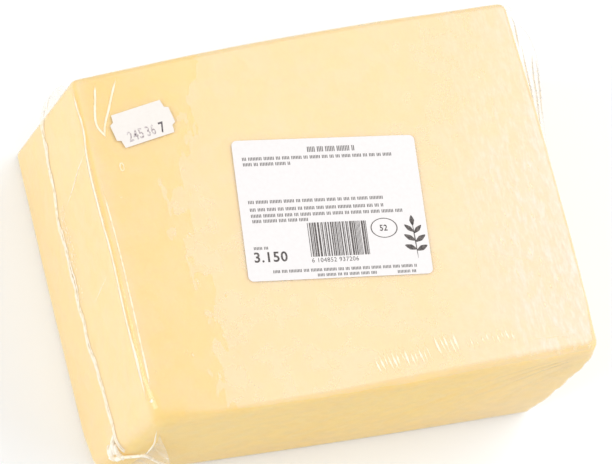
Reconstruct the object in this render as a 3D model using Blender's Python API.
"""Block of cheese sealed in a clear shrink bag, with a product label and a price label on top.

Metres, Z up. The block rests on Z = 0 with its long side along X, and its seen front at -Y.
The closing weld of the bag crosses the left end, and the other weld stands out of the right end.
"""

import math

import bmesh
import bpy
from mathutils import Matrix, Vector, noise

for old_object in list(bpy.data.objects):
    bpy.data.objects.remove(old_object, do_unlink=True)

collection = bpy.data.collections.new("cheese_block_in_bag")
bpy.context.scene.collection.children.link(collection)

# The block is an eighth of a standard twenty-kilogram block. Its corners run front left,
# front right, back right, back left. The left end is the narrower one, and the foot is wider.
HEIGHT = 0.0891
TOP_CORNERS = ((-0.0893, -0.0681), (0.0902, -0.0704), (0.0901, 0.0726), (-0.0888, 0.0669))
FOOT_CORNERS = ((-0.0915, -0.0651), (0.0916, -0.0715), (0.0913, 0.0723), (-0.0917, 0.0696))
EDGE_RADIUS = 0.0036

# How far the middle of each side stands out past the straight line between its corners.
BACK_BULGE = 0.0022
FRONT_BULGE = 0.0008
RIGHT_BULGE = 0.0010
LEFT_BULGE = 0.0004

# Film thickness of a welded fin, with both walls and the folds in it.
FIN_THICKNESS = 0.0009
SEAM_RADIUS = 0.0011

LABEL_LENGTH = 0.0720
LABEL_WIDTH = 0.0550
LABEL_CORNER = 0.0020
LABEL_CENTRE = (-0.0012, 0.0016)
LABEL_TURN = math.radians(-6.9)

PRICE_LENGTH = 0.0202
PRICE_WIDTH = 0.0135
PRICE_TAB_LENGTH = 0.0018
PRICE_TAB_WIDTH = 0.0062
PRICE_CENTRE = (-0.0654, 0.0451)
PRICE_TURN = math.radians(9.3)

PAPER_THICKNESS = 0.00025
PAPER_GAP = 0.0003


def surface_material(name, colour, roughness):
    """Plain glossy or matt surface in one colour."""
    material = bpy.data.materials.new(name)
    material.use_nodes = True
    shader = material.node_tree.nodes["Principled BSDF"]
    shader.inputs["Base Color"].default_value = (*colour, 1.0)
    shader.inputs["Roughness"].default_value = roughness
    return material


def add_object(name, bm, material):
    """Put a finished bmesh into the scene as one named object."""
    bmesh.ops.recalc_face_normals(bm, faces=bm.faces[:])
    mesh = bpy.data.meshes.new(name)
    bm.to_mesh(mesh)
    bm.free()
    made = bpy.data.objects.new(name, mesh)
    made.data.materials.append(material)
    collection.objects.link(made)
    return made


def fade(value, start, end):
    """Rise smoothly from 0 at start to 1 at end."""
    share = min(1.0, max(0.0, (value - start) / (end - start)))
    return share * share * (3.0 - 2.0 * share)


def block_point(unit):
    """Carry a point of the cube from -1 to 1 to its place in the tapered, bulging block."""
    left, right = (1.0 - unit.x) / 2.0, (1.0 + unit.x) / 2.0
    front, back = (1.0 - unit.y) / 2.0, (1.0 + unit.y) / 2.0
    foot, top = (1.0 - unit.z) / 2.0, (1.0 + unit.z) / 2.0
    x = y = 0.0
    for share, corners in ((top, TOP_CORNERS), (foot, FOOT_CORNERS)):
        weights = (left * front, right * front, right * back, left * back)
        x += share * sum(weight * corner[0] for weight, corner in zip(weights, corners))
        y += share * sum(weight * corner[1] for weight, corner in zip(weights, corners))
    along_x = math.cos(unit.x * math.pi / 2.0)
    along_y = math.cos(unit.y * math.pi / 2.0)
    x += along_y * (RIGHT_BULGE * right - LEFT_BULGE * left)
    y += along_x * (BACK_BULGE * back - FRONT_BULGE * front)
    return Vector((x, y, HEIGHT * top))


def relief(place, normal):
    """Height of the film's folds and of the uneven cheese under it, along the normal."""
    off_foot = fade(place.z, 0.006, 0.020)
    if normal.z < -0.3:
        return 0.0
    lumps = 0.00025 * noise.noise(place * 34.0)
    if normal.z > 0.5:
        # The top is flat, so that both labels lie on it, and rises and falls only at its rim.
        rim = max(fade(abs(place.x), 0.082, 0.090), fade(abs(place.y), 0.060, 0.068))
        return rim * lumps
    if normal.y < -0.5:
        # Folds fan out over the front from its upper right corner.
        out = math.hypot(0.0905 - place.x, HEIGHT - place.z)
        angle = math.atan2(HEIGHT - place.z, 0.0905 - place.x)
        strength = fade(out, 0.008, 0.030) * (1.0 - fade(out, 0.070, 0.115))
        return off_foot * (lumps + 0.0005 * strength * math.sin(angle * 21.0))
    return off_foot * lumps


def cut_grid(bm, axis, count):
    """Cut the cube across one axis into equal strips."""
    direction = Vector((0.0, 0.0, 0.0))
    direction[axis] = 1.0
    for step in range(1, count):
        everything = bm.verts[:] + bm.edges[:] + bm.faces[:]
        place = direction * (-1.0 + 2.0 * step / count)
        bmesh.ops.bisect_plane(bm, geom=everything, plane_co=place, plane_no=direction)


def add_fin(name, outline, place):
    """Flat flange of welded film: a closed outline in its own XY plane, given a thickness."""
    curve = bpy.data.curves.new(name, "CURVE")
    curve.dimensions = "2D"
    curve.fill_mode = "BOTH"
    curve.extrude = FIN_THICKNESS / 2.0
    spline = curve.splines.new("POLY")
    spline.points.add(len(outline) - 1)
    for point, (x, y) in zip(spline.points, outline):
        point.co = (x, y, 0.0, 1.0)
    spline.use_cyclic_u = True
    return curve_to_solid(name, curve, place)


def add_seam(name, path):
    """Low round ridge along a path: the crinkled weld that lies flat against an end."""
    curve = bpy.data.curves.new(name, "CURVE")
    curve.dimensions = "3D"
    curve.bevel_depth = SEAM_RADIUS
    curve.bevel_resolution = 1
    curve.use_fill_caps = True
    spline = curve.splines.new("POLY")
    spline.points.add(len(path) - 1)
    for point, (x, y, z) in zip(spline.points, path):
        point.co = (x, y, z, 1.0)
    return curve_to_solid(name, curve, Matrix.Identity(4))


def curve_to_solid(name, curve, place):
    """Turn a filled curve into a closed mesh at its place."""
    curve_object = bpy.data.objects.new(name + "_curve", curve)
    collection.objects.link(curve_object)
    mesh = bpy.data.meshes.new_from_object(curve_object)
    bpy.data.objects.remove(curve_object, do_unlink=True)
    bm = bmesh.new()
    bm.from_mesh(mesh)
    bpy.data.meshes.remove(mesh)
    bmesh.ops.remove_doubles(bm, verts=bm.verts[:], dist=0.00001)
    bmesh.ops.transform(bm, matrix=place, verts=bm.verts[:])
    return add_object(name, bm, wrapped_cheese)


wrapped_cheese = surface_material("bagged_block", (0.93, 0.74, 0.42), 0.25)
product_paper = surface_material("product_label", (0.93, 0.92, 0.90), 0.55)
price_paper = surface_material("price_label", (0.92, 0.90, 0.86), 0.6)

# The cheese with the film drawn tight over it: a cube cut into a grid, rounded along its
# twelve edges, carried to the tapered block and given its low relief.
bm = bmesh.new()
bmesh.ops.create_cube(bm, size=2.0)
for axis, strips in ((0, 26), (1, 20), (2, 12)):
    cut_grid(bm, axis, strips)
bmesh.ops.remove_doubles(bm, verts=bm.verts[:], dist=0.00001)
for vertex in bm.verts:
    vertex.co = block_point(vertex.co)
bm.normal_update()
sharp = [edge for edge in bm.edges if edge.calc_face_angle() > math.radians(40.0)]
bmesh.ops.bevel(
    bm, geom=sharp, offset=EDGE_RADIUS, offset_type="OFFSET", segments=3, profile=0.5,
    affect="EDGES", clamp_overlap=True,
)
bm.normal_update()
shifts = [vertex.normal * relief(vertex.co, vertex.normal) for vertex in bm.verts]
for vertex, shift in zip(bm.verts, shifts):
    vertex.co += shift
block = add_object("bagged_block", bm, wrapped_cheese)

# The weld that closed the bag dips and rises across the left end, then turns the corner
# and runs down the front as a short tail.
end_seam = [
    (-0.0897, 0.0672, 0.0440), (-0.0907, 0.0610, 0.0436), (-0.0912, 0.0545, 0.0428),
    (-0.0913, 0.0476, 0.0405), (-0.0914, 0.0377, 0.0412), (-0.0915, 0.0310, 0.0392),
    (-0.0916, 0.0252, 0.0357), (-0.0916, 0.0180, 0.0382), (-0.0916, 0.0047, 0.0388),
    (-0.0916, -0.0094, 0.0380), (-0.0915, -0.0242, 0.0389), (-0.0914, -0.0344, 0.0413),
    (-0.0913, -0.0450, 0.0431), (-0.0910, -0.0535, 0.0424), (-0.0905, -0.0600, 0.0430),
    (-0.0895, -0.0655, 0.0412),
]
seam = add_seam("left_seam", end_seam)

# Films of the weld's two ends: a web up to the top corner at the back, and a flap that
# hangs over the front near its left edge.
back_web = [
    (-0.0060, 0.0400), (0.0006, 0.0410), (0.0022, 0.0460), (0.0032, 0.0560),
    (0.0036, 0.0660), (0.0028, 0.0750), (0.0014, 0.0820), (-0.0060, 0.0850),
]
# Its plane stands upright, and points out of the block's back left edge.
upright = Matrix.Rotation(math.radians(90.0), 4, "X")
web_place = Matrix.Translation((-0.0893, 0.0660, 0.0)) @ Matrix.Rotation(math.radians(140.0), 4, "Z")
web = add_fin("back_left_web", back_web, web_place @ upright)

front_flap = [
    (-0.0010, 0.0440), (0.0000, 0.0360), (0.0040, 0.0330), (0.0100, 0.0290), (0.0160, 0.0225),
    (0.0225, 0.0170), (0.0242, 0.0217), (0.0196, 0.0341), (0.0142, 0.0472), (0.0113, 0.0528),
    (0.0085, 0.0583), (0.0055, 0.0620), (0.0020, 0.0580), (-0.0010, 0.0520),
]
flap_place = Matrix.Translation((-0.0890, -0.0650, 0.0)) @ Matrix.Rotation(math.radians(-20.0), 4, "Z")
flap = add_fin("front_left_flap", front_flap, flap_place @ upright)

# The other weld stands out of the right end as a level flange, widest near the back.
right_flange = [
    (0.0860, 0.0660), (0.0900, 0.0745), (0.0946, 0.0772), (0.0975, 0.0766), (0.0988, 0.0738),
    (0.0986, 0.0680), (0.1019, 0.0645), (0.1030, 0.0602), (0.1035, 0.0550), (0.1031, 0.0491),
    (0.1015, 0.0414), (0.0999, 0.0332), (0.0984, 0.0251), (0.0973, 0.0169), (0.0962, 0.0080),
    (0.0948, -0.0040), (0.0936, -0.0180), (0.0928, -0.0300), (0.0922, -0.0400), (0.0870, -0.0420),
]
flange = add_fin("right_flange", right_flange, Matrix.Translation((0.0, 0.0, 0.0730)))

# One closed body: the films are welded to the bag, so all of them become one solid.
film_parts = bpy.data.collections.new("film_parts")
bpy.context.scene.collection.children.link(film_parts)
for film_part in (seam, web, flap, flange):
    film_parts.objects.link(film_part)
    collection.objects.unlink(film_part)
weld = block.modifiers.new("weld", "BOOLEAN")
weld.operation = "UNION"
weld.operand_type = "COLLECTION"
weld.collection = film_parts
weld.solver = "EXACT"
evaluated = block.evaluated_get(bpy.context.evaluated_depsgraph_get())
welded_mesh = bpy.data.meshes.new_from_object(evaluated)
block.modifiers.clear()
block.data = welded_mesh
for film_part in list(film_parts.objects):
    bpy.data.objects.remove(film_part, do_unlink=True)
bpy.data.collections.remove(film_parts)


def add_paper(name, outline, centre, turn, material):
    """Paper label: a closed outline in XY, thickened upwards, just clear of the block's top."""
    bm = bmesh.new()
    corners = [bm.verts.new((x, y, 0.0)) for x, y in outline]
    face = bm.faces.new(corners)
    raised = bmesh.ops.extrude_face_region(bm, geom=[face])
    lifted = [item for item in raised["geom"] if isinstance(item, bmesh.types.BMVert)]
    bmesh.ops.translate(bm, vec=(0.0, 0.0, PAPER_THICKNESS), verts=lifted)
    height = HEIGHT + PAPER_GAP
    place = Matrix.Translation((centre[0], centre[1], height)) @ Matrix.Rotation(turn, 4, "Z")
    bmesh.ops.transform(bm, matrix=place, verts=bm.verts[:])
    return add_object(name, bm, material)


# The product label is a rectangle with small rounded corners.
label_outline = []
for corner_x, corner_y, start in ((1, 1, 0), (-1, 1, 90), (-1, -1, 180), (1, -1, 270)):
    for step in range(5):
        angle = math.radians(start + step * 22.5)
        label_outline.append((
            corner_x * (LABEL_LENGTH / 2.0 - LABEL_CORNER) + LABEL_CORNER * math.cos(angle),
            corner_y * (LABEL_WIDTH / 2.0 - LABEL_CORNER) + LABEL_CORNER * math.sin(angle),
        ))
add_paper("product_label", label_outline, LABEL_CENTRE, LABEL_TURN, product_paper)

# The price label has a blunt tab in the middle of each short end, where the roll was cut.
end_x = PRICE_LENGTH / 2.0
tab_x = end_x + PRICE_TAB_LENGTH
price_half = [
    (end_x - 0.0003, PRICE_WIDTH / 2.0),
    (end_x + 0.0002, PRICE_TAB_WIDTH / 2.0 + 0.0006),
    (tab_x, PRICE_TAB_WIDTH / 2.0),
    (tab_x + 0.0002, -PRICE_TAB_WIDTH / 2.0),
    (end_x + 0.0005, -PRICE_TAB_WIDTH / 2.0 - 0.0008),
    (end_x + 0.0001, -PRICE_WIDTH / 2.0),
]
price_outline = price_half + [(-x, -y) for x, y in price_half]
add_paper("price_label", price_outline, PRICE_CENTRE, PRICE_TURN, price_paper)

# The whole is centred on its own box.
parts = list(collection.objects)
points = [vertex.co for part in parts for vertex in part.data.vertices]
middle_x = (min(point.x for point in points) + max(point.x for point in points)) / 2.0
middle_y = (min(point.y for point in points) + max(point.y for point in points)) / 2.0
for part in parts:
    part.data.transform(Matrix.Translation((-middle_x, -middle_y, 0.0)))
